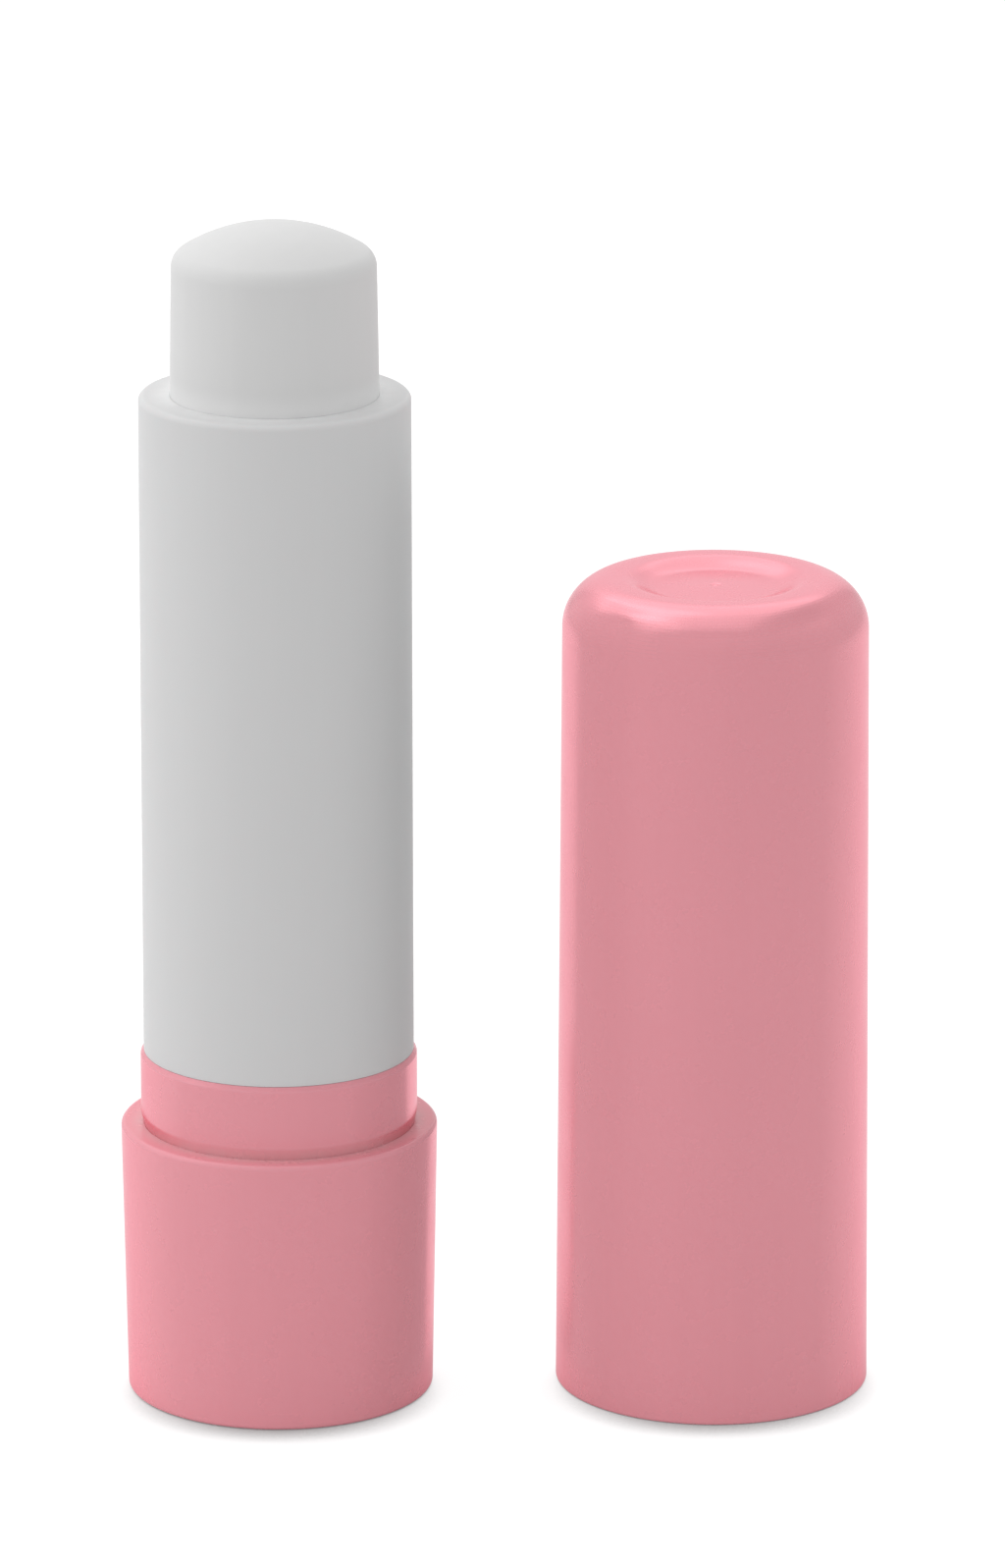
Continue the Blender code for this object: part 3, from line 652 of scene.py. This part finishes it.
# Cap
# The pink cap, stood on its mouth beside the stick. It is moulded from the middle of its crown,
# which leaves a gate mark in a shallow dish inside a rounded crest. Six short ribs inside the
# mouth grip the collar.
cap_low, cap_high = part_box("cap")
cap_x = (cap_low.x + cap_high.x) / 2
cap_y = (cap_low.y + cap_high.y) / 2
cap_foot_radius = (cap_high.x - cap_low.x) / 2
cap_draft = 0.34 * MM
cap_top_radius = cap_foot_radius - cap_draft
cap_height = cap_high.z
cap_bore = 8.76 * MM
cap_bore_draft = 0.3 * MM
cap_ceiling = 50.76 * MM
ceiling_round = 2.0 * MM
cap_mouth_round = 0.2 * MM
shoulder_round = 3.1 * MM
crest_radius = 5.8 * MM
dish_radius = 3.7 * MM
dish_depth = 0.55 * MM
dish_floor_rise = 0.1 * MM
dish_rows = 24
gate_radius = 0.45 * MM
gate_depth = 0.06 * MM
gate_rows = 8
grip_height = 0.2 * MM
grip_half_width = 0.3 * MM
grip_foot = 0.8 * MM
grip_top = 4.4 * MM
grip_count = 6


def ease(start, end, count):
    """Points from one (radius, height) to another: even in radius, half a cosine wave in height."""
    share = np.linspace(0, 1, count, endpoint=False)
    wave = (1 - np.cos(math.pi * share)) / 2
    return np.array(start) + np.stack([share, wave], axis=1) * np.subtract(end, start)


cap_walls = rounded([
    (0, cap_ceiling, 0),
    (cap_bore - cap_bore_draft, cap_ceiling, ceiling_round),
    (cap_bore, 0, cap_mouth_round),
    (cap_foot_radius, 0, cap_mouth_round),
    (cap_top_radius, cap_height, shoulder_round),
    (crest_radius, cap_height, 0),
], steps=20)[:-1]
dish_floor = cap_height - dish_depth
dish_centre = dish_floor + dish_floor_rise
crown = np.concatenate([
    ease((crest_radius, cap_height), (dish_radius, dish_floor), dish_rows),
    ease((dish_radius, dish_floor), (gate_radius, dish_centre), dish_rows),
    ease((gate_radius, dish_centre), (gate_radius / 2, dish_centre - gate_depth), gate_rows),
    ease((gate_radius / 2, dish_centre - gate_depth), (0, dish_centre), gate_rows),
    [(0, dish_centre)],
])
cap_outline = divided(np.concatenate([cap_walls, crown]), ring=False)
cap_grid = spun(cap_outline)

# A grip rib is a round-backed bump on the bore, whose height falls to nothing across it and at
# both of its ends.
from_middle = around(grip_count) * cap_bore / grip_half_width
bump_across = np.sqrt(np.clip(1 - from_middle**2, 0, 1))
radii, heights = cap_outline.T
on_bore = (radii < cap_bore + hair) & (heights < cap_ceiling / 2)
rising = np.clip((heights - grip_foot) / grip_height, 0, 1)
falling = np.clip((grip_top - heights) / grip_height, 0, 1)
bump = (on_bore * rising * falling)[:, None] * bump_across
cap_grid[..., :2] *= (1 - grip_height / cap_bore * bump)[..., None]
cap_grid += (cap_x, cap_y, 0)
cap = skin("cap_shell", cap_grid, cap_outline, ring=False)
cap_pink = pink_plastic("cap_pink_plastic", level_share=0.78)
fitted(cap, "cap", "cap_body", cap_pink)

# Table
# A plain white sheet under both pieces, which keeps their shadows. The room is lit from behind,
# so a painted contact shadow lies in front of each foot: the sheet's own glow is dimmed by how
# much of the space behind each point of the sheet is closed off within a few millimetres.
sheet_half = 1.5
contact_reach = 3.6 * MM
from_behind = (0.0, 0.9, 0.44)
closed_in, open_air = 0.19, 0.71
paper_grey = 0.8
seen_grey = 0.2
page_glow = 0.9
mirrored_glow = 0.22
table_mesh = bpy.data.meshes.new("white_table")
table_mesh.from_pydata([(-sheet_half, -sheet_half, 0), (sheet_half, -sheet_half, 0),
                        (sheet_half, sheet_half, 0), (-sheet_half, sheet_half, 0)], [], [(0, 1, 2, 3)])
table = bpy.data.objects.new("white_table", table_mesh)
bpy.context.scene.collection.objects.link(table)
table_white = bpy.data.materials.new("white_table")
table_white.use_nodes = True
table_white.cycles.emission_sampling = "NONE"
tree = table_white.node_tree
tree.nodes.clear()
backward = node(tree, "ShaderNodeCombineXYZ", dict(enumerate(from_behind))).outputs[0]
probe = {"Distance": contact_reach, "Normal": backward}
unblocked = node(tree, "ShaderNodeAmbientOcclusion", probe, samples=8).outputs["AO"]
open_share = mapped(tree, unblocked, closed_in, open_air)

# The eye sees the sheet as a white page, less the contact's dark, and a mirrored ray sees it
# dimly. Other rays meet plain white paper.
rays = node(tree, "ShaderNodeLightPath").outputs
grey = worked(tree, "MULTIPLY_ADD", rays["Is Camera Ray"], seen_grey - paper_grey, paper_grey)
paper = node(tree, "ShaderNodeBsdfDiffuse", {"Color": grey}).outputs[0]
mirrored = worked(tree, "MULTIPLY", rays["Is Glossy Ray"], mirrored_glow)
seen = worked(tree, "MULTIPLY_ADD", rays["Is Camera Ray"], page_glow, mirrored)
lift = worked(tree, "MULTIPLY", seen, open_share)
glow = node(tree, "ShaderNodeEmission", {"Color": (1, 1, 1, 1), "Strength": lift}).outputs[0]
lifted = node(tree, "ShaderNodeAddShader", {0: paper, 1: glow}).outputs[0]
node(tree, "ShaderNodeOutputMaterial", {"Surface": lifted})
table.data.materials.append(table_white)

# Cards
# Two grey cards that stand between the pieces, as on a photographer's table. One meets only
# bounced light, so that the cap's pink doesn't colour the white tube. The other is only seen
# mirrored in the walls on either side of it. Neither shows or casts a shadow.
card_x = 12.6 * MM
card_front = -10 * MM
card_height = 60 * MM


def stand_card(name, back, grey, left_glow, right_glow):
    """An upright grey card from card_front to back, with a faint glow of its own on each side."""
    mesh = bpy.data.meshes.new(name)
    mesh.from_pydata([(card_x, card_front, 0), (card_x, back, 0), (card_x, back, card_height),
                      (card_x, card_front, card_height)], [], [(0, 1, 2, 3)])
    card = bpy.data.objects.new(name, mesh)
    bpy.context.scene.collection.objects.link(card)
    card.visible_camera = False
    card.visible_transmission = False
    card.visible_shadow = False
    card.visible_volume_scatter = False
    material = bpy.data.materials.new(name)
    material.use_nodes = True
    material.cycles.emission_sampling = "NONE"
    tree = material.node_tree
    tree.nodes.clear()
    sheet = node(tree, "ShaderNodeBsdfDiffuse", {"Color": (grey, grey, grey, 1)}).outputs[0]
    on_left = node(tree, "ShaderNodeNewGeometry").outputs["Backfacing"]
    strength = mapped(tree, on_left, 0.0, 1.0, low=right_glow, high=left_glow)
    glow = node(tree, "ShaderNodeEmission", {"Strength": strength}).outputs[0]
    both = node(tree, "ShaderNodeAddShader", {0: sheet, 1: glow}).outputs[0]
    node(tree, "ShaderNodeOutputMaterial", {"Surface": both})
    mesh.materials.append(material)
    return card


bounce_card = stand_card("bounce_card", 12 * MM, grey=0.35, left_glow=0.28, right_glow=0.5)
bounce_card.visible_glossy = False
mirror_card = stand_card("mirror_card", 1.4 * MM, grey=0.0, left_glow=0.65, right_glow=0.8)
mirror_card.visible_diffuse = False

# Lamps
# A white room, and soft boxes that stand to the left of the object and behind it, so that its
# sides are bright and its front is a little darker.
world = bpy.context.scene.world or bpy.data.worlds.new("white_room")
bpy.context.scene.world = world
world.use_nodes = True
tree = world.node_tree
tree.nodes.clear()
room_light = 0.7
page_light = 1.0
rays = node(tree, "ShaderNodeLightPath").outputs
seen = worked(tree, "MAXIMUM", rays["Is Camera Ray"], rays["Is Transmission Ray"])
room = node(tree, "ShaderNodeBackground", {"Color": (1, 1, 1, 1), "Strength": room_light}).outputs[0]
page = node(tree, "ShaderNodeBackground", {"Color": (1, 1, 1, 1), "Strength": page_light}).outputs[0]
mixed = node(tree, "ShaderNodeMixShader", {0: seen, 1: room, 2: page}).outputs[0]
node(tree, "ShaderNodeOutputWorld", {"Surface": mixed})

lamp_distance = 0.7
middle = Vector((0.013, 0, 0.037))

# Each box is a square lamp that faces the middle of the object. Its azimuth is counted from the
# camera's side towards the left, and its power is pi times its area times its brightness, where
# 1 is white.
for name, azimuth, elevation, size, brightness in [
    ("left_high", 90, 52, 0.5, 0.75),
    ("left", 90, 20, 0.5, 0.6),
    ("back_high", 180, 52, 0.5, 0.6),
    ("back_left_high", 135, 52, 0.5, 0.55),
    ("overhead", 0, 88, 0.5, 0.4),
    ("back", 180, 20, 0.5, 0.35),
    ("back_left", 135, 20, 0.5, 0.3),
    ("left_small", 70, 20, 0.3, 0.25),
    ("right", 270, 20, 0.5, 0.2),
    ("front_left", 45, 20, 0.5, 0.1),
    ("back_right", 225, 20, 0.5, 0.1),
]:
    lamp = bpy.data.lights.new(name, "AREA")
    lamp.shape = "SQUARE"
    lamp.size = size
    lamp.energy = math.pi * size**2 * brightness
    turn, rise = math.radians(azimuth), math.radians(elevation)
    away = Vector((-math.sin(turn) * math.cos(rise), -math.cos(turn) * math.cos(rise), math.sin(rise)))
    holder = bpy.data.objects.new(name, lamp)
    bpy.context.scene.collection.objects.link(holder)
    holder.location = middle + away * lamp_distance
    holder.rotation_euler = away.to_track_quat("Z", "Y").to_euler()
    holder.visible_camera = False

# Camera
# A long lens, from the front and a little above, as the photograph was taken.
downward_tilt = 16.05
eye = bpy.data.cameras.new("camera")
eye.lens = 231.1
eye.sensor_width = 36.0
camera = bpy.data.objects.new("camera", eye)
bpy.context.scene.collection.objects.link(camera)
camera.location = (0.013984, -0.600, 0.211713)
camera.rotation_euler = (math.radians(90 - downward_tilt), 0, 0)
bpy.context.scene.camera = camera
bpy.context.scene.view_settings.view_transform = "Standard"
